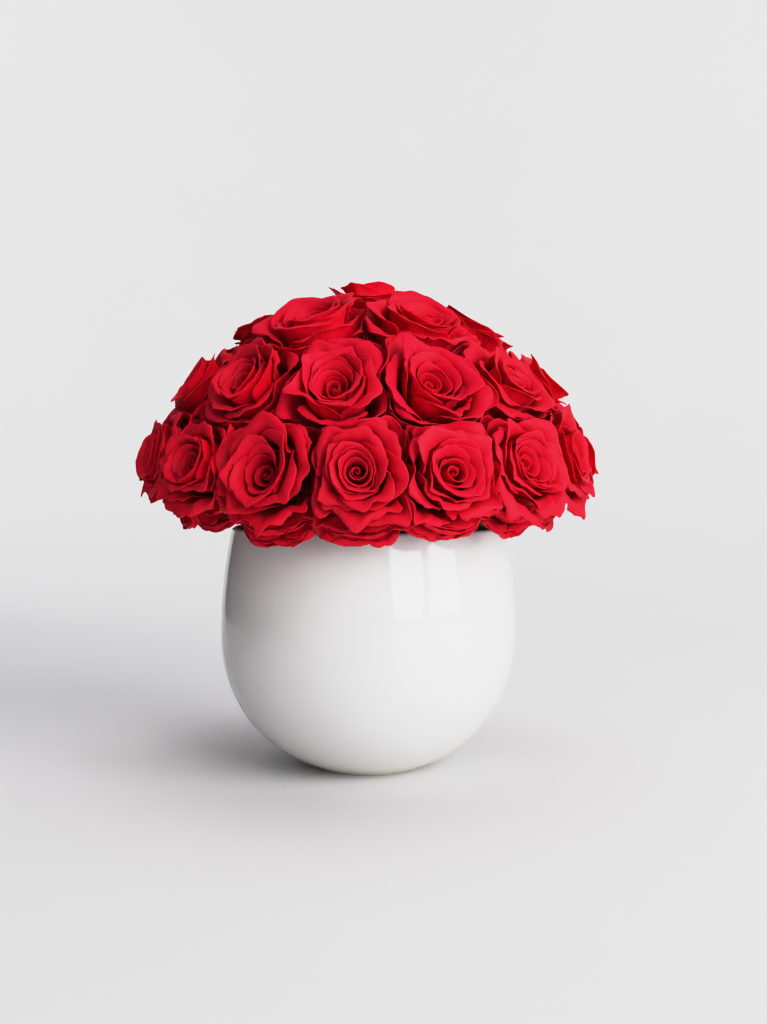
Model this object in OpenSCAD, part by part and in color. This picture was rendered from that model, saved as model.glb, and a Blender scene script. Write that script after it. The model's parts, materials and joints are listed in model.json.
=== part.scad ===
// Dome of preserved roses in a round glazed vase.
// Frame: origin at the centre of the vase's foot, on the surface that it stands on,
// +Z up, with the front of the arrangement towards -Y. Sizes are in millimetres.
// Every rose sits on a pick, and all the picks point at one focus on the vase's axis.

/* [Vase] */
// Height of the vase from its foot to its rim
vase_h = 146; // [130:1:160]
// Largest radius of the vase
vase_r = 90; // [86:1:100]
// Height of the vase's widest place
wide_z = 81; // [76:1:96]
// Outer radius at the rim
rim_r = 83; // [78:1:85]
// Wall thickness
wall = 4; // [3:0.5:5]
// Exponent of the bowl's curve, where 2 is an ellipse and more is squarer
belly = 2.1; // [2:0.05:2.4]
// How far under the table the bowl's curve would end if it ran on to the axis
base_drop = 4.5; // [3:0.5:6]
// Height of the recess under the vase, inside the foot ring
foot_h = 3; // [2:0.5:4]

/* [Foam] */
// Gap between the foam plug and the vase's mouth
plug_gap = 5; // [3:0.5:8]
// Radius of the foam dome that holds the picks
dome_r = 84; // [78:1:86]
// Radius of the pegs that pin the dome to the plug
peg_r = 2; // [1.5:0.5:3]
// Length of a peg
peg_l = 50; // [40:1:56]
// Distance of the pegs from the vase's axis
peg_place_r = 24; // [20:1:26]

/* [Roses] */
// Number of roses in each row, from the rim up to the top
row_count = [16, 12, 6, 1]; // [1:1:16]
// Angle of each row above the horizontal, seen from the focus
row_rise = [12.4, 36, 61.5, 90]; // [5:0.1:90]
// How much higher each row sits at the two sides than at the front and back, as an angle
row_lift = [4.5, 2, 0, 0]; // [0:0.5:6]
// Direction of each row's first rose, counted from the front
row_turn = [-2.8, -10.3, -31, 0]; // [-40:0.1:40]
// Radius of a rose in each row
row_rose_r = [23.2, 24, 28.8, 31.5]; // [18:0.1:31.5]
// How much closer to the focus the roses of each row sit
row_sink = [0, 3, 3, 0]; // [0:0.5:5]
// Distance from the focus to the crest of a rose that isn't sunk
rose_crest = 141; // [138:1:146]
// Thickness of a petal
petal_t = 1.6; // [1.2:0.1:2]

/* [Picks] */
// Radius of a pick
pick_r = 1.2; // [0.8:0.1:1.5]
// Length of pick that is inside the foam
pick_hold = 42; // [36:1:44]
// Radial clearance between a pick and its hole in the foam
pick_fit = 0.08; // [0.05:0.01:0.1]

/* [Hidden] */
$fn = 64;
focus_z = vase_h + 4;          // the point that every pick aims at
dome_base_z = focus_z - 1;     // the foam dome rests on the plug here
floor_z = foot_h + wall;       // inside bottom of the vase
outer_depth = wide_z + base_drop;          // of the bowl's outer curve, under its widest place
inner_depth = outer_depth - wall;
plug_r = rim_r - wall - plug_gap;
plug_foot_r = 56;
plug_clear = 1;                // between the plug's taper and the bowl
curve_steps = 14;              // segments along each curve of the vase
lip_steps = 6;
foot_w = 6;                    // width of the foot ring

pick_tip = dome_r - pick_hold;             // all of these are distances from the focus
calyx_base = rose_crest - 47;
neck_end = calyx_base + 6;
pick_end = calyx_base + 8;
cup_rim = rose_crest - 38;                 // top of the green cup that the petals grow from
petal_base = cup_rim - 2;
petal_wide = rose_crest - 9;
neck_r = 3.4;
cup_r = 14;
pick_point = 6;                // length of a pick's sharpened end
twist = 137.5;                 // turn from one rose to the next, so that no two look alike

// A whorl of petals: how many, the share of the rose's radius, the radius that they grow
// from, their height over the crest, the angle that one petal spans, and the first one's turn
outer_whorl = [5, 1, 12, -1, 66, 0];
inner_whorl = [3, 0.58, 8, 0, 104, 40];
bud_r = 8.5;
bud_foot_r = 4;
bud_waist = 0.5;               // share of the bud's lower half that bulges over its foot
petal_steps = 5;               // segments along a petal's arc

rows = [0:len(row_count) - 1];
SPOTS = [for (row = rows) for (k = [0:row_count[row] - 1])
    [row, row_turn[row] + 360 * k / row_count[row]]];
ROSES = [0:len(SPOTS) - 1];

function rose_name(i) = str("rose_", i < 9 ? "0" : "", i + 1);

// A point on a bowl of radius r and the given depth whose widest place is at wide_z;
// a is 0 at the bottom of the bowl and 90 at its widest place
function bowl_point(r, depth, a) =
    [r * pow(sin(a), 2 / belly), wide_z - depth * pow(cos(a), 2 / belly)];

// The angle a at which such a bowl passes the height z
function bowl_angle(depth, z) = acos(pow((wide_z - z) / depth, belly / 2));

// Height at which the inside of the bowl has radius r
function bowl_height(r) =
    wide_z - inner_depth * pow(1 - pow(r / (vase_r - wall), belly), 1 / belly);

// Outer radius above the widest place
function shoulder_r(z) =
    vase_r - (vase_r - rim_r) * pow((z - wide_z) / (vase_h - wide_z), 2);

// How far left of the axis an arc is centred that starts at [base_r, 0] and stands upright
// at [r, h]
function arc_offset(r, base_r, h) = (h * h + base_r * base_r - r * r) / (2 * (r - base_r));

// Points along an arc, in petal_steps segments
function arc(centre, radius, from, to) = [for (i = [0:petal_steps])
    let (a = from + (to - from) * i / petal_steps) centre + radius * [cos(a), sin(a)]];

module vase_profile() {
    foot_a = bowl_angle(outer_depth, 0);
    floor_a = bowl_angle(inner_depth, floor_z);
    ring_r = bowl_point(vase_r, outer_depth, foot_a)[0] - foot_w;
    lip_r = wall / 2;
    lip_z = vase_h - lip_r;
    outside = [for (i = [0:curve_steps])
        bowl_point(vase_r, outer_depth, foot_a + (90 - foot_a) * i / curve_steps)];
    outer_shoulder = [for (i = [1:curve_steps / 2])
        let (z = wide_z + (lip_z - wide_z) * i / (curve_steps / 2)) [shoulder_r(z), z]];
    lip = [for (i = [1:lip_steps - 1])
        [shoulder_r(lip_z) - lip_r + lip_r * cos(180 * i / lip_steps),
         lip_z + lip_r * sin(180 * i / lip_steps)]];
    inner_shoulder = [for (i = [curve_steps / 2:-1:1])
        let (z = wide_z + (lip_z - wide_z) * i / (curve_steps / 2)) [shoulder_r(z) - wall, z]];
    inside = [for (i = [curve_steps:-1:0])
        bowl_point(vase_r - wall, inner_depth, floor_a + (90 - floor_a) * i / curve_steps)];
    polygon(concat([[0, foot_h], [ring_r, foot_h], [ring_r, 0]],
        outside, outer_shoulder, lip, inner_shoulder, inside, [[0, floor_z]]));
}

module vase() {
    color("white") rotate_extrude($fn = 128) vase_profile();
}

module peg_places() {
    for (a = [60:120:300]) rotate([0, 0, a]) translate([peg_place_r, 0, dome_base_z]) children();
}

module peg() {
    cylinder(r = peg_r, h = peg_l, center = true);
}

module foam_plug() {
    color("darkgreen") difference() {
        rotate_extrude() polygon([
            [0, bowl_height(plug_foot_r + plug_clear)],
            [plug_foot_r, bowl_height(plug_foot_r + plug_clear)],
            [plug_r, bowl_height(plug_r + plug_clear)],
            [plug_r, dome_base_z], [0, dome_base_z]]);
        peg_places() peg();
    }
}

// Angle of a rose's axis above the horizontal
function rise(spot) = row_rise[spot[0]] + row_lift[spot[0]] * pow(sin(spot[1]), 2);

// Turns something drawn along +Z at the origin into place at a rose's spot
module aim(spot) {
    translate([0, 0, focus_z]) rotate([0, 0, spot[1]]) rotate([90 - rise(spot), 0, 0])
        translate([0, 0, -row_sink[spot[0]]]) children();
}

module foam_dome() {
    color("darkgreen") difference() {
        translate([0, 0, focus_z]) sphere(r = dome_r);
        translate([0, 0, dome_base_z - dome_r]) cube(2 * dome_r, center = true);
        peg_places() peg();
        for (spot = SPOTS) aim(spot) translate([0, 0, pick_tip])
            cylinder(r = pick_r + pick_fit, h = dome_r);
    }
}

module foam_pegs() {
    color("burlywood") peg_places() peg();
}

// One cupped petal wall, seen in section: a strip along an arc that starts inside the cup at
// radius base_r, stands upright at radius r, and ends at the height top
module petal_profile(r, base_r, top) {
    h = petal_wide - petal_base;
    offset_r = arc_offset(r, base_r, h);
    centre = [-offset_r, petal_wide];
    radius = r + offset_r;
    from = -asin(h / radius);
    to = asin((top - petal_wide) / radius);
    polygon(concat(arc(centre, radius, from, to), arc(centre, radius - petal_t, to, from)));
}

module whorl(w, rose_r) {
    for (k = [0:w[0] - 1]) rotate([0, 0, w[5] + 360 * k / w[0]])
        rotate_extrude(angle = w[4]) petal_profile(rose_r * w[1], w[2], rose_crest + w[3]);
}

// The tight heart of the rose, pointed at the top
module bud() {
    half_h = (rose_crest - petal_base) / 2;
    offset_r = arc_offset(bud_r, 0, half_h);
    tip_a = asin(half_h / (bud_r + offset_r));
    side = arc([-offset_r, petal_base + half_h], bud_r + offset_r, -tip_a * bud_waist, tip_a);
    rotate_extrude() polygon(concat([[0, petal_base], [bud_foot_r, petal_base]], side));
}

module cup() {
    rotate_extrude() polygon([
        [0, calyx_base], [neck_r, calyx_base], [neck_r, neck_end],
        [cup_r, petal_base], [cup_r, cup_rim], [0, cup_rim]]);
}

module pick() {
    rotate_extrude() polygon([
        [0, pick_tip + 1], [pick_r, pick_tip + 1 + pick_point], [pick_r, pick_end], [0, pick_end]]);
}

module rose(i) {
    spot = SPOTS[i];
    rose_r = row_rose_r[spot[0]];
    aim(spot) rotate([0, 0, twist * i]) {
        color("crimson") difference() {
            union() {
                cup();
                bud();
                whorl(outer_whorl, rose_r);
                whorl(inner_whorl, rose_r);
            }
            cylinder(r = pick_r + pick_fit, h = pick_end + pick_fit);
        }
        color("forestgreen") pick();
    }
}

vase();
foam_plug();
foam_dome();
foam_pegs();
for (i = ROSES) rose(i);
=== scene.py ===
"""Looks of a round glazed vase that holds a dome of preserved red roses.

Everything is in metres in the CAD frame: origin at the centre of the vase's foot, +Z up, front
towards -Y. Roses are modelled in millimetres along +Z and then turned to their places.
"""

import json
import math

import bpy
import numpy as np
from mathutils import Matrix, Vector


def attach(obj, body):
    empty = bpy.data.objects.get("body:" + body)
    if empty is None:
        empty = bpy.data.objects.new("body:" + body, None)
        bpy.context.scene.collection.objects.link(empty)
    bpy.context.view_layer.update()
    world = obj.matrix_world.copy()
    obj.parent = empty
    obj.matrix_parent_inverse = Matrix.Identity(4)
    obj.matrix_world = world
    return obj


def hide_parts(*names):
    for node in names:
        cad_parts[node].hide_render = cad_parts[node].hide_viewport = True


MM = 0.001
TURN = 2 * math.pi
GOLDEN = math.radians(137.5)

# Places and sizes that the CAD sets, in millimetres
FOCUS_Z = 150.0                       # every rose's axis passes through this point
PETAL_BASE = 101.0                    # where the petals start, counted from the focus
CALYX_BASE = 94.0
PICK_TIP = 43.0
PICK_R = 1.2
VASE_H, VASE_R, WIDE_Z, RIM_R = 146.0, 90.0, 81.0, 83.0
WALL, BELLY, BASE_DROP, FOOT_H, FOOT_W = 4.0, 2.1, 4.5, 3.0, 6.0
ROW_ENDS = (16, 28, 34, 35)           # number of the last rose in each row, from the rim up
ROW_SINK = (0.0, 3.0, 3.0, 0.0)       # how much closer to the focus each row sits


# ---------------------------------------------------------------- small helpers

def smooth(x):
    """0 below 0, 1 above 1, with a soft step between."""
    x = np.clip(x, 0.0, 1.0)
    return x * x * (3 - 2 * x)


def wave(rng, x, count, low, high):
    """A smooth random wave along x, from about -1 to 1."""
    total = np.zeros_like(x)
    for _ in range(count):
        total += np.sin(rng.uniform(low, high) * x + rng.uniform(0, TURN))
    return total / np.sqrt(count)


def torn_edge(rng, u, ragged):
    """How much of a petal's length is missing along its lip: a slow wave and a few small tears."""
    edge = 0.008 * wave(rng, u, 2, 3, 7) + 0.004 * rng.normal(0, 1, u.shape)
    for _ in range(rng.integers(1, 4 + int(4 * ragged))):
        width, depth = rng.uniform(0.03, 0.09), rng.uniform(0.01, 0.05)
        edge = edge - depth * np.exp(-np.abs(u - rng.uniform(-1, 1)) / width)
    return edge * ragged


def blur(grid, times):
    """A grid of values, each one averaged with its neighbours several times."""
    for _ in range(times):
        p = np.pad(grid, 1, mode="edge")
        grid = (p[:-2, 1:-1] + p[2:, 1:-1] + p[1:-1, :-2] + p[1:-1, 2:] + 2 * p[1:-1, 1:-1]) / 6
    return grid


def shell(points, thickness):
    """A closed thin shell around a grid of points: its corners and its faces."""
    normal = np.cross(np.gradient(points, axis=0), np.gradient(points, axis=1))
    normal /= np.maximum(np.linalg.norm(normal, axis=2, keepdims=True), 1e-9)
    front, back = points + normal * thickness / 2, points - normal * thickness / 2
    rows, cols = points.shape[:2]
    number = np.arange(rows * cols).reshape(rows, cols)
    quads = np.stack([number[:-1, :-1], number[1:, :-1], number[1:, 1:], number[:-1, 1:]],
                     -1).reshape(-1, 4)
    rim = np.concatenate([number[:, 0], number[-1, 1:], number[-2::-1, -1], number[0, -2:0:-1]])
    after, below = np.roll(rim, -1), rows * cols
    edge = np.stack([after, rim, rim + below, after + below], -1)
    faces = np.concatenate([quads, quads[:, ::-1] + below, edge])
    return np.concatenate([front.reshape(-1, 3), back.reshape(-1, 3)]), faces


def revolve(profile, steps):
    """A closed surface of revolution around Z. The profile is a list of (radius, height) that
    starts and ends on the axis, in millimetres."""
    profile = np.array(profile, float)
    ring = profile[1:-1]
    angle = np.arange(steps) * TURN / steps
    points = np.stack([ring[:, None, 0] * np.cos(angle), ring[:, None, 0] * np.sin(angle),
                       np.repeat(ring[:, 1:], steps, 1)], -1).reshape(-1, 3)
    count = len(points)
    points = np.concatenate([points, [[0, 0, profile[0, 1]], [0, 0, profile[-1, 1]]]])
    faces = []
    for i in range(len(ring) - 1):
        for j in range(steps):
            k = (j + 1) % steps
            faces.append([i * steps + j, i * steps + k, (i + 1) * steps + k, (i + 1) * steps + j])
    last = (len(ring) - 1) * steps
    for j in range(steps):
        k = (j + 1) % steps
        faces.append([count, k, j])
        faces.append([count + 1, last + j, last + k])
    return points, faces


def add_mesh(name, points, faces, material, marks=None):
    """A smooth-shaded object from points in millimetres."""
    mesh = bpy.data.meshes.new(name)
    mesh.from_pydata((np.asarray(points) * MM).tolist(), [],
                     [list(map(int, face)) for face in faces])
    mesh.shade_smooth()
    for key, values in (marks or {}).items():
        layer = mesh.attributes.new(key, "FLOAT", "POINT")
        layer.data.foreach_set("value", np.asarray(values, np.float32))
    mesh.materials.append(material)
    piece = bpy.data.objects.new(name, mesh)
    bpy.context.scene.collection.objects.link(piece)
    return piece


# ---------------------------------------------------------------- the rose

THETA_BINS, Z_BINS, Z_TOP = 120, 72, 54.0   # grid of directions and heights around a head
OPEN_ROOM = 60.0                      # room on a side where there is no neighbour
PETAL_T = 0.34                        # thickness of a petal
GUARD_STRETCH = 1.36                  # how far lower petals may reach into the corners
# Where a petal's rows of points lie along its length, closer together towards the lip
PETAL_ROWS = np.array([0, .18, .34, .48, .58, .66, .73, .79, .84, .885, .925, .96, .985, 1.0])


class Space:
    """How far out a rose's petals reach so far, for each direction and height."""

    def __init__(self):
        self.reach = np.zeros((THETA_BINS, Z_BINS))

    def at(self, theta, z):
        """The reach at these directions and heights."""
        t = (theta / TURN * THETA_BINS) % THETA_BINS
        h = np.clip(z / Z_TOP * Z_BINS, 0, Z_BINS - 1.001)
        t0, h0 = t.astype(int) % THETA_BINS, h.astype(int)
        t1, h1, a, b = (t0 + 1) % THETA_BINS, h0 + 1, t - np.floor(t), h - h0
        r = self.reach
        return ((1 - a) * (1 - b) * r[t0, h0] + a * (1 - b) * r[t1, h0]
                + (1 - a) * b * r[t0, h1] + a * b * r[t1, h1])

    def add(self, theta, r, z):
        """Takes in one more petal."""
        def finer(grid):
            for axis in (0, 1):
                grid = np.moveaxis(grid, axis, 0)
                parts = [grid[:-1] + (grid[1:] - grid[:-1]) * f for f in (0, .25, .5, .75)]
                grid = np.moveaxis(np.concatenate(parts), 0, axis)
            return grid
        t = (finer(theta) / TURN * THETA_BINS).astype(int) % THETA_BINS
        h = np.clip((finer(z) / Z_TOP * Z_BINS).astype(int), 0, Z_BINS - 1)
        np.maximum.at(self.reach, (t, h), finer(r))


def petal_section(length, lean, upright, roll, roll_from, base_r, reach):
    """Radius and height along each column of a petal, from its foot to its lip."""
    s = PETAL_ROWS[None, :] * reach[:, None]
    wall = lean + (upright - lean) * smooth(s / roll_from)
    t = np.clip((s - roll_from) / (1 - roll_from), 0, 1.3)
    angle = wall + roll[:, None] * t ** 1.7
    step = np.diff(s, axis=1, prepend=0) * length
    middle = angle.copy()
    middle[:, 1:] = (angle[:, 1:] + angle[:, :-1]) / 2
    return (s, base_r + np.cumsum(np.sin(middle) * step, axis=1),
            np.cumsum(np.cos(middle) * step, axis=1))


def fit_section(top, wall_r, roll_from, upright, roll, base_r, reach):
    """The section whose middle column has its crest at the height top and its wall at wall_r."""
    length, lean = top * 1.12, math.radians(30)
    middle = len(reach) // 2
    for _ in range(12):
        s, r, z = petal_section(length, lean, upright, roll, roll_from, base_r, reach)
        length *= top / z[middle].max()
        at = np.argmin(np.abs(s[middle] - roll_from))
        lean = np.clip(lean + (wall_r - r[middle, at]) / (0.55 * length), -0.35, 1.25)
    return petal_section(length, lean, upright, roll, roll_from, base_r, reach)


def polygon_lip(u, half, corner):
    """How far a lip falls short of a circle where it runs straight between its corners."""
    side = np.where(u < corner, corner + 1, 1 - corner) * half
    from_middle = np.abs(u - corner) * half - side / 2
    return np.cos(side / 2) / np.cos(from_middle)


def petal(rng, space, place, share, spec):
    """One petal, where share is 0 for the inmost and 1 for the outmost: directions, radii and
    heights of its points, and its own coordinates."""
    heart = 1 - smooth(share / 0.28)
    outer = smooth((share - 0.50) / 0.50)
    columns = int(round(15 + 10 * smooth(share / 0.4) + 12 * outer)) // 2 * 2 + 1
    u = np.linspace(-1, 1, columns)
    u = np.sign(u) * np.abs(u) ** 0.92

    # section: where the petal stands, how high it is, and how its lip rolls out
    wall_r = spec["heart_r"] + (spec["wall_r"] - spec["heart_r"]) * share ** spec["open"]
    wall_r += rng.normal(0, 0.6) * smooth(share / 0.3)
    top = (spec["recess"] + (spec["crest"] - spec["recess"]) * smooth(share / spec["bowl"])
           - spec["droop"] * outer ** 1.3) + rng.normal(0, 0.5 + 0.7 * (1 - heart))
    notch = torn_edge(rng, u, spec["ragged"] * (0.4 + 0.6 * outer))
    corner = rng.uniform(-0.25, 0.25)
    tip = rng.uniform(0.01, 0.09) * np.exp(-((u - corner) / 0.12) ** 2) * (0.3 + 0.7 * outer)
    reach = 1 - (0.06 + 0.14 * (1 - heart)) * np.abs(u) ** 3 + notch + tip
    curl = math.radians(22 + 58 * smooth(share / 0.5) + 62 * outer) * rng.uniform(0.7, 1.35)
    sides = 0.74 + 0.40 * smooth(np.abs(u - corner) / 0.8)
    roll = curl * (sides * (0.35 + 0.65 * (1 - heart)) + 0.07 * wave(rng, u, 2, 2, 5))
    roll_from = 0.80 - 0.08 * share - 0.12 * outer
    upright = math.radians(-9 * heart + 6 * (1 - heart) + 14 * outer)
    s, r, z = fit_section(top, wall_r, roll_from, upright, roll, 1.0 + 6.0 * share, reach)

    # breadth, as an angle around the axis
    width = spec["width"] * rng.uniform(0.85, 1.12) * (0.62 + 0.38 * share) * (
        0.45 + 0.55 * np.sin(np.pi / 2 * np.clip(s / 0.7, 0, 1)))
    middle = r[columns // 2][None, :]
    wall_at = np.maximum(np.minimum(middle, wall_r + 0.25 * (middle - wall_r)), 2.2)
    half = np.clip(width / wall_at, 0.15, math.radians(165 - 62 * share))
    theta = place + half * u[:, None]

    # unevenness: one side laps over, and the lip runs straight between corners and ruffles
    up, lip = smooth(s / 0.6), smooth((s - 0.55) / 0.4)
    spiral = 1.2 * heart + spec["spiral"] * (1 - heart)
    r = r + up * u[:, None] * spiral * min(1.0, wall_r / 5)
    z = z + up * u[:, None] * rng.uniform(-1.0, 1.0) + 0.3 * up * wave(rng, theta, 2, 1.5, 4)
    straight = polygon_lip(u, half[:, -1], corner)[:, None] - 1
    r = r * (1 + lip * straight * spec["facet"] * smooth((share - 0.25) / 0.5)
             * rng.uniform(0.4, 1.0))
    ruffle = blur(rng.normal(0, 1, r.shape), 6) * 2.4
    r = r + lip * (0.15 + spec["ruffle"] * outer) * ruffle
    z = z + lip * (0.10 + spec["ruffle"] * outer) * blur(rng.normal(0, 1, r.shape), 5) * 1.6
    r = np.maximum(r, 0.35)
    return push_out(space, theta, r, z, spec["gap"] * (0.7 + 0.6 * outer), s, share)


def guard_petal(rng, space, place, spread, length, spec):
    """A broad lower petal that opens wide under the rose and hangs."""
    u = np.linspace(-1, 1, 31)
    corner = rng.uniform(-0.3, 0.3)
    notch = torn_edge(rng, u, spec["ragged"])
    tip = rng.uniform(0.0, 0.04) * np.exp(-((u - corner) / 0.15) ** 2)
    reach = 1 - 0.14 * np.abs(u) ** 3 + notch + tip
    roll = math.radians(rng.uniform(20, 60)) * (0.7 + 0.3 * np.abs(u))
    lean = math.radians(spread)
    s, r, z = petal_section(length, lean, lean * 0.82, roll, 0.7, 6.5, reach)
    width = 26 * (0.40 + 0.60 * np.sin(np.pi / 2 * np.clip(s / 0.75, 0, 1)))
    half = np.clip(width / np.maximum(r, 6), 0.2, 1.5)
    theta = place + half * u[:, None]
    up = smooth(s / 0.6)
    r = r + up * blur(rng.normal(0, 1, r.shape), 6) * 2.2
    z = z + up * (0.5 * wave(rng, theta, 2, 2, 5) + blur(rng.normal(0, 1, r.shape), 5) * 2.0)
    return push_out(space, theta, r, np.maximum(z, 0), spec["gap"] * 1.2, s, 1.15)


def push_out(space, theta, r, z, gap, s, share):
    """Moves a petal outside those under it, and takes the space that it then fills."""
    for _ in range(3):
        short = np.maximum(space.at(theta, z) + gap - r, 0)
        spread = np.maximum(short, blur(short, 4))
        r = r + np.maximum(short, blur(spread, 3))
    space.add(theta, r, z)
    u = np.repeat(np.linspace(-1, 1, len(r))[:, None], r.shape[1], 1)
    return theta, r, z, u, s, np.full_like(s, share)


# What every head shares. Its petals stand between the radii heart_r and wall_r, and open says how
# they share that space. The heart sits at the height recess and rises to crest over the share bowl
# of the petals, and the outmost droop again. width is half a petal's breadth, and spiral is how
# far one side of a petal laps over its neighbour. facet, ruffle and ragged make lips straight,
# wavy and torn, and gap keeps petals apart. oval, oval_turn and shift make a head lopsided, turn
# sets where its first petal points, and count is how many petals stand above its guards.
ROSE = dict(heart_r=1.3, crest=39.8, spiral=1.6, facet=1.2, ruffle=1.2, ragged=1.24, gap=0.95,
            count=23)

# What each row adds
ROW_LOOKS = (
    dict(wall_r=20.5, droop=10.0, width=23.0),
    dict(wall_r=22.0, droop=11.0, width=24.0),
    dict(wall_r=25.0, droop=12.0, width=27.0),
    dict(wall_r=26.0, droop=13.0, width=28.0),
)

# The roses that face the camera, each with its own character
FRONT_LOOKS = {
    16: dict(recess=27.0, open=0.80, wall_r=21.5, oval=0.06, oval_turn=1.5, count=22,
             shift=(0.5, -1.0), bowl=0.55),
    1: dict(recess=35.5, open=1.0, bowl=0.40, oval=0.03, count=26, shift=(0.6, 0.8)),
    2: dict(recess=30.0, open=0.96, wall_r=21.5, ruffle=1.5, ragged=1.5, oval=0.03,
            shift=(0.8, 0.0)),
    3: dict(recess=31.0, open=0.95, wall_r=21.5, shift=(-2.6, 1.2), oval=0.05, oval_turn=2.4),
    17: dict(recess=29.0, open=0.86, oval=0.06, oval_turn=1.9, shift=(0.6, -1.0), bowl=0.6),
    18: dict(recess=30.0, open=0.86, wall_r=23.0, shift=(-2.6, -0.5), oval=0.08, bowl=0.6),
}


def guards(chance, lowest_row, front):
    """The lower petals that fill the gaps between the heads: direction and opening in degrees,
    and length. The lowest row's hang over the rim, most at the front and back, where front is
    near 1, and a few lie flat under each head and hide the foam."""
    spots = [(45 + 90 * k + chance.uniform(-14, 14), chance.uniform(46, 58), chance.uniform(31, 36))
             for k in range(4)]
    if lowest_row:
        spots = [spot for spot in spots if math.sin(math.radians(spot[0])) > -0.3]
        spots += [(-90 + step + chance.uniform(-8, 8), chance.uniform(52, 60),
                   chance.uniform(14, 17) + 14 * front) for step in (-66, 66, -33, 33, 0)]
        spots += [(-90 + step + chance.uniform(-6, 6), chance.uniform(78, 86),
                   chance.uniform(26, 30)) for step in (-54, 54, -18, 18)]
    return spots


def row_of(number):
    """Row of the rose with this number, where 0 is the row at the rim."""
    return next(row for row, end in enumerate(ROW_ENDS) if number <= end)


def own_look(chance, number, axis):
    """Everything that sets one rose apart. Where axis points to the front or the back, the
    petals over the rim are longer."""
    row = row_of(number)
    look = {**ROSE, **ROW_LOOKS[row]}
    look.update(open=chance.uniform(0.82, 1.04), recess=chance.uniform(29, 35),
                bowl=chance.uniform(0.36, 0.62), oval=chance.uniform(0.02, 0.12),
                oval_turn=chance.uniform(0, TURN), turn=chance.uniform(0, TURN),
                shift=tuple(chance.uniform(-2.2, 2.2, 2)))
    look.update(FRONT_LOOKS.get(number, {}))
    look["guards"] = guards(chance, row == 0, axis[1] ** 2)
    return look


def rose_head(seed, spec, limit):
    """A rose head: points in millimetres with the axis along +Z and the focus at the origin,
    faces, and each point's marks. limit(x, y, t) gives the room on a point's own side and on
    the tightest side."""
    rng = np.random.default_rng(seed)
    space = Space()
    petals = []
    for k in range(spec["count"]):
        place = k * GOLDEN + spec["turn"] + rng.normal(0, 0.12)
        petals.append(petal(rng, space, place, k / (spec["count"] - 1), spec))
    for place, spread, length in spec["guards"]:
        petals.append(guard_petal(rng, space, math.radians(place), spread, length, spec))
    phase = rng.uniform(0, TURN, 6)
    points, faces, marks, at = [], [], [], 0
    for theta, r, z, u, s, share in petals:
        x, y = r * np.cos(theta), r * np.sin(theta)
        x, y = misshape(x, y, z, spec, phase)
        stretch = GUARD_STRETCH if share.max() > 1 else rng.uniform(1.04, 1.20)
        x, y, z = squeeze(x, y, z, limit, stretch)
        corners, quads = shell(np.stack([x, y, z], -1), PETAL_T)
        points.append(corners + [0, 0, PETAL_BASE])
        faces.append(quads + at)
        inside = np.concatenate([np.ones(u.size), np.zeros(u.size)])
        marks.append(np.stack([np.tile(u.ravel(), 2), np.tile(s.ravel(), 2),
                               np.tile(share.ravel(), 2), inside]))
        at += len(corners)
    marks = np.concatenate(marks, 1)
    return (np.concatenate(points), np.concatenate(faces),
            dict(zip(("across", "along", "layer", "inside"), marks)))


def misshape(x, y, z, spec, phase):
    """Makes a head a little oval and uneven, the same way for all its petals."""
    c, s = math.cos(spec["oval_turn"]), math.sin(spec["oval_turn"])
    a, b = (x * c + y * s) * (1 + spec["oval"]), (y * c - x * s) * (1 - spec["oval"])
    x, y = a * c - b * s, a * s + b * c
    near = np.exp(-(x * x + y * y) / 130) * smooth(z / 30)
    x, y = x + spec["shift"][0] * near, y + spec["shift"][1] * near
    size = 0.7 * smooth(np.hypot(x, y) / 12)
    x = x + size * np.sin(0.13 * y + phase[0]) + 0.5 * size * np.sin(0.27 * z + 0.2 * x + phase[1])
    y = y + size * np.sin(0.13 * x + phase[2]) + 0.5 * size * np.sin(0.27 * z + 0.2 * y + phase[3])
    return x, y


def squeeze(x, y, z, limit, most):
    """Spreads a head's outer petals into the corners between its neighbours, and presses them
    against the room that its neighbours leave."""
    r = np.maximum(np.hypot(x, y), 1e-6)
    room, nearest = limit(x, y, z + PETAL_BASE)
    corner = 1 + (np.clip(room / nearest, 1, most) - 1) * smooth((1.75 - room / nearest) / 0.35)
    wide = r * (1 + smooth((r / nearest - 0.30) / 0.65) * (corner - 1))
    free = 0.86                       # share of the room that a petal takes without being pressed
    share = wide / room
    pressed = free + (1 - free) * np.tanh(np.maximum(share - free, 0) / (1 - free))
    new = np.where(share > free, pressed * room, wide)
    return x * new / r, y * new / r, z + 0.30 * np.maximum(wide - new, 0)


def uneven(way):
    """A small shared warp of directions, so that the seams between heads aren't straight."""
    x, y, z = way[..., 0], way[..., 1], way[..., 2]
    return 0.020 * np.stack([np.sin(23 * y + 1.0) + 0.6 * np.sin(41 * z + 2.0),
                             np.sin(25 * z + 4.0) + 0.6 * np.sin(38 * x + 0.5),
                             np.sin(21 * x + 2.5) + 0.6 * np.sin(43 * y + 5.0)], -1)


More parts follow.
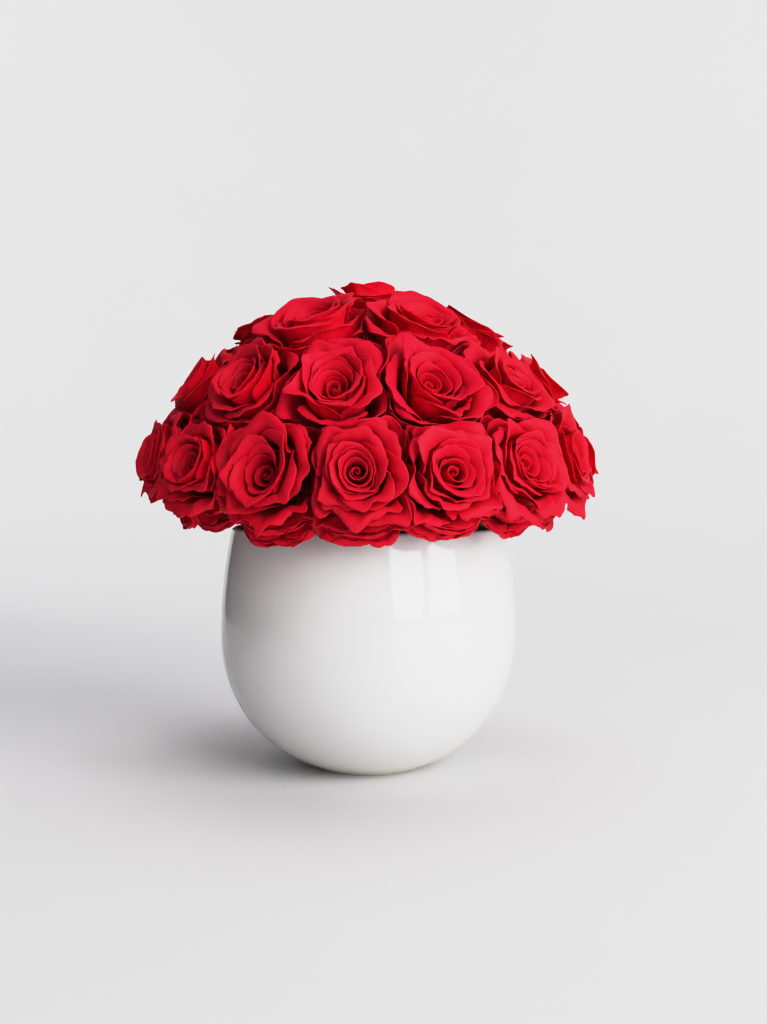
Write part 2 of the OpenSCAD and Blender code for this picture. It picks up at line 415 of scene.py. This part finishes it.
def room_around(index, axes, weights, sink):
    """The function that limits one rose, sunk by sink towards the focus, to its side of the
    planes between it and the others."""
    axis = axes[index]
    near = [j for j in range(len(axes)) if j != index and np.dot(axes[j], axis) > 0.45]
    turn = np.array(place_axes(axis))
    normals = np.array([turn @ ((axis - axes[j]) / np.linalg.norm(axis - axes[j])) for j in near])
    seam = 0.3                            # left free on each side of a plane
    shifts = np.array([(weights[index] - weights[j]) / 2 - seam for j in near])
    half = min(math.acos(np.dot(axes[j], axis)) for j in near) / 2

    def limit(x, y, t):
        t = t - sink
        r = np.hypot(x, y)
        ex, ey = x / r, y / r
        room = np.full(np.shape(t), OPEN_ROOM)
        way = np.stack([x, y, t], -1) @ turn
        way = uneven(way / np.linalg.norm(way, axis=-1, keepdims=True)) @ turn.T
        for n, shift in zip(normals, shifts):
            toward = -(ex * n[0] + ey * n[1])
            far = (t * (n[2] + way @ n) + shift) / np.maximum(toward, 1e-3)
            room = np.minimum(room, np.where(toward > 1e-3, np.maximum(far, 4), OPEN_ROOM))
        return room, t * math.tan(half)
    return limit


def place_axes(axis):
    """A rose's own X, Y and Z in the CAD frame: X level, Y upwards, Z along its axis."""
    rise = math.asin(max(-1.0, min(1.0, axis[2])))
    turn = math.atan2(axis[0], -axis[1]) if abs(axis[2]) < 0.9999 else 0.0
    x = (math.cos(turn), math.sin(turn), 0.0)
    y = (-math.sin(turn) * math.sin(rise), math.cos(turn) * math.sin(rise), math.cos(rise))
    return x, y, tuple(axis)


def place_points(points, axis, sink):
    """Turns points with the axis along +Z and the focus at the origin into the CAD frame."""
    return (np.asarray(points) - [0, 0, sink]) @ np.array(place_axes(axis)) + [0, 0, FOCUS_Z]


def sepal(rng, place):
    """One of the five green leaves under a head: its corners and faces."""
    length, foot_r, half_width, thickness, rows = 11.0, 5.6, 2.9, 0.5, 12
    along, across = np.linspace(0, 1, rows + 1), np.linspace(-1, 1, 7)[:, None]
    place += rng.uniform(-0.15, 0.15)
    angle = 0.9 + rng.uniform(0.9, 2.0) * along
    step = length / rows
    r = foot_r + np.concatenate([[0], np.cumsum(np.sin(angle[1:]) * step)])
    z = PETAL_BASE - 1.2 + np.concatenate([[0], np.cumsum(np.cos(angle[1:]) * step)])
    half = half_width * np.sin(np.pi * (0.22 + 0.78 * along)) ** 0.8 * (1 - 0.35 * along) + 0.12
    cup = 0.9 * across ** 2
    side, out = across * half, r - 0.5 * cup
    grid = np.stack([out * math.cos(place) - side * math.sin(place),
                     out * math.sin(place) + side * math.cos(place), z + cup], -1)
    return shell(grid, thickness)


def rose_stem(seed):
    """The calyx with its sepals, and the pick that goes into the foam."""
    rng = np.random.default_rng(seed)
    profile = [(0, PICK_TIP), (0.35, PICK_TIP + 0.4), (PICK_R, PICK_TIP + 6),
               (PICK_R, CALYX_BASE - 9.6), (1.5, CALYX_BASE - 9), (1.9, CALYX_BASE - 6),
               (2.1, CALYX_BASE - 1), (3.2, CALYX_BASE + 1), (3.8, CALYX_BASE + 3.5),
               (4.6, CALYX_BASE + 5.5), (6.4, PETAL_BASE - 0.2), (7.2, PETAL_BASE + 0.6),
               (6.6, PETAL_BASE + 1.2), (0, PETAL_BASE + 1.4)]
    points, faces = revolve(profile, 18)
    for k in range(5):
        corners, quads = sepal(rng, k * TURN / 5)
        faces = list(faces) + (quads + len(points)).tolist()
        points = np.concatenate([points, corners])
    return points, faces


# ---------------------------------------------------------------- materials

def new_material(name):
    """A material, its nodes, a function that links sockets, and its shader."""
    material = bpy.data.materials.new(name)
    material.use_nodes = True
    nodes, links = material.node_tree.nodes, material.node_tree.links
    return material, nodes, links.new, nodes["Principled BSDF"]


def attribute(nodes, name):
    """The value that a mesh keeps under this name."""
    node = nodes.new("ShaderNodeAttribute")
    node.attribute_name = name
    return node.outputs["Fac"]


def noise(nodes, link, scale, detail, vector=None, distortion=0.0):
    """Noise over the object's own coordinates, or over a vector."""
    node = nodes.new("ShaderNodeTexNoise")
    node.inputs["Scale"].default_value = scale
    node.inputs["Detail"].default_value = detail
    node.inputs["Distortion"].default_value = distortion
    if vector is None:
        vector = nodes.new("ShaderNodeTexCoord").outputs["Object"]
    link(vector, node.inputs["Vector"])
    return node.outputs["Fac"]


def math_node(nodes, link, operation, a, b=None):
    """One calculation on sockets or numbers."""
    node = nodes.new("ShaderNodeMath")
    node.operation = operation
    for socket, value in zip(node.inputs, (a, b)):
        if isinstance(value, (int, float)):
            socket.default_value = value
        elif value is not None:
            link(value, socket)
    return node.outputs["Value"]


def ramp(nodes, link, factor, stops):
    """A colour ramp from (position, colour) stops."""
    node = nodes.new("ShaderNodeValToRGB")
    elements = node.color_ramp.elements
    while len(elements) < len(stops):
        elements.new(0.5)
    for element, (position, colour) in zip(elements, stops):
        element.position = position
        element.color = (*colour, 1)
    link(factor, node.inputs["Fac"])
    return node.outputs["Color"]


def mix(nodes, link, factor, a, b, blend="MIX"):
    """Blends two colours; each may be a socket or an (r, g, b)."""
    node = nodes.new("ShaderNodeMix")
    node.data_type = "RGBA"
    node.blend_type = blend
    colours = [socket for socket in node.inputs if socket.type == "RGBA"]
    for socket, value in zip((node.inputs["Factor"], *colours), (factor, a, b)):
        if isinstance(value, tuple):
            socket.default_value = (*value, 1)
        elif isinstance(value, (int, float)):
            socket.default_value = value
        else:
            link(value, socket)
    return next(socket for socket in node.outputs if socket.type == "RGBA")


def bump(nodes, link, height, strength, distance):
    """The normal of a surface with fine relief."""
    node = nodes.new("ShaderNodeBump")
    node.inputs["Strength"].default_value = strength
    node.inputs["Distance"].default_value = distance
    link(height, node.inputs["Height"])
    return node.outputs["Normal"]


def petal_material(name, tint):
    """Preserved rose petals: velvety, veined, duller on the back, darker towards each petal's foot
    with painted shade, and paler along the lip with a painted highlight.
    """
    material, nodes, link, shader = new_material(name)
    across, along = attribute(nodes, "across"), attribute(nodes, "along")
    layer, inside = attribute(nodes, "layer"), attribute(nodes, "inside")
    soft = noise(nodes, link, 90.0, 3.0)
    spots = noise(nodes, link, 900.0, 2.0)
    fan = nodes.new("ShaderNodeCombineXYZ")
    link(math_node(nodes, link, "MULTIPLY", across, 34.0), fan.inputs["X"])
    link(math_node(nodes, link, "MULTIPLY", along, 2.2), fan.inputs["Y"])
    link(math_node(nodes, link, "MULTIPLY", layer, 60.0), fan.inputs["Z"])
    veins = noise(nodes, link, 1.0, 3.0, fan.outputs["Vector"], 0.6)
    red = ramp(nodes, link, soft, [(0.30, tuple(c * 0.80 for c in tint)), (0.70, tint)])
    # This dark red paints shade at the petals' feet, low inside the head, and also colours the veins
    shade_and_vein_red = (tint[0] * 0.50, tint[1] * 0.6, tint[2] * 0.9)
    # Painted shade: full at each petal's foot, fading out by three quarters of its length
    depth = ramp(nodes, link, along, [(0.25, (1, 1, 1)), (0.75, (0, 0, 0))])
    red = mix(nodes, link, depth, red, shade_and_vein_red)
    # Painted highlight: the lip turns paler where it catches the light
    pale = (min(1.0, tint[0] * 1.05), tint[1] + 0.010, tint[2] + 0.014)
    lip = ramp(nodes, link, along, [(0.94, (0, 0, 0)), (1.0, (0.6, 0.6, 0.6))])
    red = mix(nodes, link, lip, red, pale)
    vein_mask = ramp(nodes, link, veins, [(0.42, (0.30, 0.30, 0.30)), (0.56, (0, 0, 0))])
    red = mix(nodes, link, vein_mask, red, shade_and_vein_red)
    back = (tint[0] * 0.62, tint[1] + 0.006, tint[2] * 1.3)
    outside = math_node(nodes, link, "MULTIPLY",
                        math_node(nodes, link, "SUBTRACT", 1.0, inside), 0.55)
    red = mix(nodes, link, outside, red, back)
    link(red, shader.inputs["Base Color"])
    height = math_node(nodes, link, "ADD", math_node(nodes, link, "MULTIPLY", veins, 1.0),
                       math_node(nodes, link, "MULTIPLY", spots, 0.25))
    link(bump(nodes, link, height, 0.55, 0.0004), shader.inputs["Normal"])
    rough = ramp(nodes, link, soft, [(0.3, (0.48, 0.48, 0.48)), (0.7, (0.62, 0.62, 0.62))])
    link(rough, shader.inputs["Roughness"])
    shader.inputs["Specular IOR Level"].default_value = 0.17
    shader.inputs["Subsurface Weight"].default_value = 0.12
    shader.inputs["Subsurface Radius"].default_value = (1.0, 0.12, 0.10)
    shader.inputs["Subsurface Scale"].default_value = 0.0015
    shader.inputs["Sheen Weight"].default_value = 0.14
    shader.inputs["Sheen Roughness"].default_value = 0.45
    shader.inputs["Sheen Tint"].default_value = (1.0, 0.16, 0.20, 1)
    return material


def glaze_material():
    """Thick glossy white glaze, slightly uneven, a little warmer where it thins low down."""
    material, nodes, link, shader = new_material("white_glaze")
    place = nodes.new("ShaderNodeTexCoord").outputs["Object"]
    height = nodes.new("ShaderNodeSeparateXYZ")
    link(place, height.inputs["Vector"])
    low = math_node(nodes, link, "DIVIDE", height.outputs["Z"], 0.146)
    body = ramp(nodes, link, low, [(0.0, (0.74, 0.70, 0.63)), (0.05, (0.745, 0.72, 0.685)),
                                   (0.22, (0.745, 0.742, 0.736))])
    cloud = noise(nodes, link, 14.0, 2.0)
    veil = ramp(nodes, link, cloud, [(0.35, (0.97, 0.97, 0.97)), (0.65, (1, 1, 1))])
    link(mix(nodes, link, 1.0, body, veil, "MULTIPLY"), shader.inputs["Base Color"])
    rough = ramp(nodes, link, noise(nodes, link, 60.0, 2.0),
                 [(0.3, (0.06, 0.06, 0.06)), (0.7, (0.10, 0.10, 0.10))])
    link(rough, shader.inputs["Roughness"])
    waves = math_node(nodes, link, "ADD", noise(nodes, link, 22.0, 1.0),
                      math_node(nodes, link, "MULTIPLY", noise(nodes, link, 260.0, 1.0), 0.03))
    link(bump(nodes, link, waves, 0.60, 0.0012), shader.inputs["Normal"])
    shader.inputs["IOR"].default_value = 1.45
    shader.inputs["Coat Weight"].default_value = 0.20
    shader.inputs["Coat Roughness"].default_value = 0.06
    return material


def clay_material():
    """Bare fired clay on the foot ring."""
    material, nodes, link, shader = new_material("bare_clay")
    grain = noise(nodes, link, 700.0, 4.0)
    link(ramp(nodes, link, grain, [(0.35, (0.66, 0.60, 0.52)), (0.65, (0.80, 0.76, 0.69))]),
         shader.inputs["Base Color"])
    link(bump(nodes, link, grain, 0.5, 0.0003), shader.inputs["Normal"])
    shader.inputs["Roughness"].default_value = 0.85
    return material


def foam_material():
    """Dry floral foam: fine open cells, dusty dark green."""
    material, nodes, link, shader = new_material("floral_foam")
    cells = nodes.new("ShaderNodeTexVoronoi")
    cells.inputs["Scale"].default_value = 620.0
    link(nodes.new("ShaderNodeTexCoord").outputs["Object"], cells.inputs["Vector"])
    dust = noise(nodes, link, 120.0, 4.0)
    green = ramp(nodes, link, dust, [(0.3, (0.055, 0.095, 0.045)), (0.7, (0.115, 0.17, 0.085))])
    pores = ramp(nodes, link, cells.outputs["Distance"], [(0.1, (0.45, 0.45, 0.45)),
                                                          (0.5, (1, 1, 1))])
    link(mix(nodes, link, 1.0, green, pores, "MULTIPLY"), shader.inputs["Base Color"])
    link(bump(nodes, link, cells.outputs["Distance"], 0.8, 0.0006), shader.inputs["Normal"])
    shader.inputs["Roughness"].default_value = 0.95
    shader.inputs["Specular IOR Level"].default_value = 0.1
    return material


def bamboo_material():
    """Split bamboo with fibres along the peg."""
    material, nodes, link, shader = new_material("bamboo")
    stretch = nodes.new("ShaderNodeMapping")
    stretch.inputs["Scale"].default_value = (1.0, 1.0, 0.05)
    link(nodes.new("ShaderNodeTexCoord").outputs["Object"], stretch.inputs["Vector"])
    fibres = noise(nodes, link, 1800.0, 3.0, stretch.outputs["Vector"])
    link(ramp(nodes, link, fibres, [(0.3, (0.50, 0.36, 0.19)), (0.7, (0.74, 0.59, 0.37))]),
         shader.inputs["Base Color"])
    link(bump(nodes, link, fibres, 0.4, 0.0002), shader.inputs["Normal"])
    shader.inputs["Roughness"].default_value = 0.55
    return material


def calyx_material():
    """Dried green calyx and the green tape around the pick."""
    material, nodes, link, shader = new_material("calyx_green")
    patch = noise(nodes, link, 260.0, 4.0)
    link(ramp(nodes, link, patch, [(0.3, (0.03, 0.06, 0.02)), (0.7, (0.08, 0.13, 0.04))]),
         shader.inputs["Base Color"])
    ridges = noise(nodes, link, 1400.0, 2.0)
    link(bump(nodes, link, ridges, 0.5, 0.0003), shader.inputs["Normal"])
    shader.inputs["Roughness"].default_value = 0.7
    shader.inputs["Sheen Weight"].default_value = 0.1
    return material


def plain_material(name, colour, rough):
    """Nearly even paint."""
    material, nodes, link, shader = new_material(name)
    link(ramp(nodes, link, noise(nodes, link, 3.0, 2.0),
              [(0.3, tuple(c * 0.985 for c in colour)), (0.7, colour)]),
         shader.inputs["Base Color"])
    shader.inputs["Roughness"].default_value = rough
    shader.inputs["Specular IOR Level"].default_value = 0.2
    return material


# ---------------------------------------------------------------- the vase

def bowl_curve(radius, depth, start_z, steps):
    """Points up one of the bowl's curves, from the height start_z to its widest place."""
    start = math.acos(((WIDE_Z - start_z) / depth) ** (BELLY / 2))
    angles = [start + (math.pi / 2 - start) * i / steps for i in range(steps + 1)]
    return [(radius * math.sin(a) ** (2 / BELLY), WIDE_Z - depth * math.cos(a) ** (2 / BELLY))
            for a in angles]


def shoulder(z):
    """Outer radius of the vase above its widest place."""
    return VASE_R - (VASE_R - RIM_R) * ((z - WIDE_Z) / (VASE_H - WIDE_Z)) ** 2


def vase_profile():
    """The glazed body, from the recess under it over the rim to the inside of its floor."""
    steps, lip, floor_z, soft = 44, WALL / 2, FOOT_H + WALL, 0.9
    depth = WIDE_Z + BASE_DROP
    outside = bowl_curve(VASE_R, depth, soft, steps)
    foot_r = outside[0][0] - soft
    heights = [WIDE_Z + (VASE_H - lip - WIDE_Z) * i / 18 for i in range(1, 19)]
    rim_r = shoulder(VASE_H - lip) - lip
    rim = [(rim_r + lip * math.cos(math.pi * i / 10), VASE_H - lip + lip * math.sin(math.pi * i / 10))
           for i in range(1, 10)]
    inside = bowl_curve(VASE_R - WALL, depth - WALL, floor_z, steps)[::-1]
    under = [(foot_r - FOOT_W, FOOT_H), (foot_r - 2.0, 1.6), (foot_r - 1.6, 0.5),
             (foot_r - 1.0, 0.12), (foot_r - 0.2, 0.10), (foot_r + 0.5, 0.42)]
    return ([(0, FOOT_H)] + under + outside + [(shoulder(z), z) for z in heights] + rim
            + [(shoulder(z) - WALL, z) for z in reversed(heights)] + inside + [(0, floor_z)])


def foot_ring():
    """The unglazed ring that the vase stands on."""
    outer = bowl_curve(VASE_R, WIDE_Z + BASE_DROP, 0, 1)[0][0] - 1.6
    inner, top = outer - FOOT_W + 2.2, 1.7
    section = [(inner, top), (inner, 0.9), (inner + 0.3, 0.35), (inner + 0.9, 0.0),
               (outer - 0.9, 0.0), (outer - 0.3, 0.35), (outer, 0.9), (outer, top)]
    steps, count = 96, len(section)
    points = [(r * math.cos(TURN * j / steps), r * math.sin(TURN * j / steps), z)
              for j in range(steps) for r, z in section]
    faces = [[j * count + i, j * count + (i + 1) % count,
              (j + 1) % steps * count + (i + 1) % count, (j + 1) % steps * count + i]
             for j in range(steps) for i in range(count)]
    return points, faces


# ---------------------------------------------------------------- camera, light and stage

# The camera's response: how bright a light in the scene comes out in the picture
TONES = [(0.0, 0.0), (0.12, 0.085), (0.30, 0.27), (0.50, 0.55), (0.70, 0.75), (0.90, 0.83),
         (1.2, 0.90), (1.6, 0.96)]


def aim_at(thing, target):
    """Turns a lamp towards a place."""
    thing.rotation_euler = (Vector(target) - thing.location).to_track_quat("-Z", "Y").to_euler()


def add_camera():
    """A camera in front, a little above the rim and looking slightly down."""
    camera = bpy.data.objects.new("camera", bpy.data.cameras.new("camera"))
    camera.data.lens = 42.8
    camera.data.sensor_width = 36.0
    camera.data.clip_start = 0.01
    camera.location = (0.0, -0.745, 0.1832)
    camera.rotation_euler = (math.radians(90 - 2.2), 0, math.radians(-0.70))
    bpy.context.scene.collection.objects.link(camera)
    bpy.context.scene.camera = camera


def add_light(name, place, target, size, power, size_y=None, glossy=True):
    """A soft lamp that the camera doesn't see. Reflections show it only where it is glossy."""
    light = bpy.data.lights.new(name, "AREA")
    light.shape = "RECTANGLE"
    light.size, light.size_y = size, size_y or size
    light.energy = power
    lamp = bpy.data.objects.new(name, light)
    lamp.location = place
    aim_at(lamp, target)
    lamp.visible_camera, lamp.visible_glossy = False, glossy
    bpy.context.scene.collection.objects.link(lamp)


def set_tones(view):
    """A camera's response: a little contrast in the shadows and a soft shoulder near white."""
    view.view_transform = "Standard"
    view.use_curve_mapping = True
    mapping = view.curve_mapping
    mapping.use_clip = False
    points = mapping.curves[3].points
    for x, y in TONES[1:-1]:
        points.new(x, y)
    for point, place in zip(points, TONES):
        point.location = place
    mapping.update()


def floor_mesh():
    """A round floor that curves up into a wall, in metres."""
    flat_r, bend_r, wall_top, steps = 2.2, 1.6, 2.6, 72
    bend = [(flat_r + bend_r * math.sin(a), bend_r - bend_r * math.cos(a))
            for a in (math.pi / 2 * i / 12 for i in range(13))]
    rings = [(0.4, 0.0), (1.2, 0.0)] + bend + [(flat_r + bend_r, wall_top)]
    points = [(0, 0, 0)] + [(r * math.cos(TURN * j / steps), r * math.sin(TURN * j / steps), z)
                            for r, z in rings for j in range(steps)]
    faces = [[0, 1 + j, 1 + (j + 1) % steps] for j in range(steps)]
    for i in range(len(rings) - 1):
        faces += [[1 + i * steps + j, 1 + (i + 1) * steps + j,
                   1 + (i + 1) * steps + (j + 1) % steps, 1 + i * steps + (j + 1) % steps]
                  for j in range(steps)]
    return points, faces


def add_sky():
    """Faint even light from all round."""
    world = bpy.data.worlds.new("studio")
    world.use_nodes = True
    sky = world.node_tree.nodes["Background"]
    sky.inputs["Color"].default_value = (0.93, 0.95, 1.0, 1)
    sky.inputs["Strength"].default_value = 0.20
    bpy.context.scene.world = world


def add_window():
    """Two tall panes to the right of the camera, which the glaze mirrors."""
    distance, middle_z, height, power = 2.1, 0.86, 1.60, 27.0
    for name, azimuth, width in (("window_left_pane", 29, 0.90), ("window_right_pane", 59, 0.95)):
        a = math.radians(azimuth)
        add_light(name, (distance * math.sin(a), -distance * math.cos(a), middle_z),
                  (0, 0, 0.50), width, power * width, size_y=height)


def add_shade():
    """A dark card at the left, out of the camera's sight, that keeps that side of the roses in
    shade and edges the vase."""
    corners = [(x, y, z) for x, y in ((-0.61, 0.83), (-1.03, -0.07), (-0.80, -0.68))
               for z in (0.0, 0.9)]
    card = add_mesh("shade_card", np.array(corners) / MM, [[0, 2, 3, 1], [2, 4, 5, 3]],
                    plain_material("shade_grey", (0.06, 0.055, 0.05), 0.9))
    card.visible_camera = False


def add_stage():
    """A pale floor and wall, a window, and lamps that wash the floor and the walls."""
    points, faces = floor_mesh()
    floor = add_mesh("floor", np.array(points) / MM, faces,
                     plain_material("pale_floor", (0.83, 0.828, 0.835), 0.6))
    add_sky()
    set_tones(bpy.context.scene.view_settings)
    add_window()
    add_shade()
    add_light("ceiling", (0.0, 0.3, 2.3), (0, 0.3, 0), 2.0, 20, glossy=False)
    for name, x, y, power in (("wall_wash_left", -1.5, 1.6, 22), ("wall_wash_right", 1.5, 1.6, 22),
                              ("wall_wash_front", 0.0, -1.6, 13)):
        add_light(name, (x, y, 2.4), (1.2 * x, 2.35 * y, 0.8), 1.4, power, glossy=False)


# ---------------------------------------------------------------- building it all

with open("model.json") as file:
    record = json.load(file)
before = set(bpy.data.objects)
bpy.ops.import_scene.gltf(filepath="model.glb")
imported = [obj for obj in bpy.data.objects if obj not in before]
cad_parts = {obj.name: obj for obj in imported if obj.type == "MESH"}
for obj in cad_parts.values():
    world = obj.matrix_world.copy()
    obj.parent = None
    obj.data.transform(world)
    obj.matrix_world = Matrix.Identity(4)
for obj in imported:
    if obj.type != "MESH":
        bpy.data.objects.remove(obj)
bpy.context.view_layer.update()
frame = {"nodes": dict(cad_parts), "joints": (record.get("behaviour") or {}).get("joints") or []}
add_camera()
add_stage()

glaze = glaze_material()
vase = add_mesh("vase_glazed", *revolve(vase_profile(), 192), glaze)
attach(vase, "vase_body")
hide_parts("vase")
ring = add_mesh("vase_foot_ring", *foot_ring(), clay_material())
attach(ring, "vase_body")

for node, material in (("foam_plug", foam_material()), ("foam_dome", foam_material()),
                       ("foam_pegs", bamboo_material())):
    mesh = frame["nodes"][node].data
    mesh.materials.clear()
    mesh.materials.append(material)

REDS = [petal_material("petals_a", (0.94, 0.0030, 0.034)),
        petal_material("petals_b", (0.87, 0.0025, 0.030)),
        petal_material("petals_c", (0.98, 0.0040, 0.038))]
green = calyx_material()

pulls = {joint["name"]: joint for joint in frame["joints"] if joint["name"].endswith("_pull")}
names = sorted(name[:-len("_pull")] for name in pulls)
axes = [np.array(pulls[name + "_pull"]["axis"], float) for name in names]
chance = np.random.default_rng(2026)
weights = chance.uniform(-1.0, 1.0, len(names))

for index, name in enumerate(names):
    number, axis = int(name.split("_")[1]), axes[index]
    sink = ROW_SINK[row_of(number)]
    look = own_look(chance, number, axis)
    points, faces, marks = rose_head(1000 + number, look,
                                     room_around(index, axes, weights, sink))
    head = add_mesh(name + "_petals", place_points(points, axis, sink), faces,
                    REDS[number % len(REDS)], marks)
    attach(head, name + "_body")
    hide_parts(name)
    points, faces = rose_stem(2000 + number)
    stem = add_mesh(name + "_stem", place_points(points, axis, sink), faces, green)
    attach(stem, name + "_body")
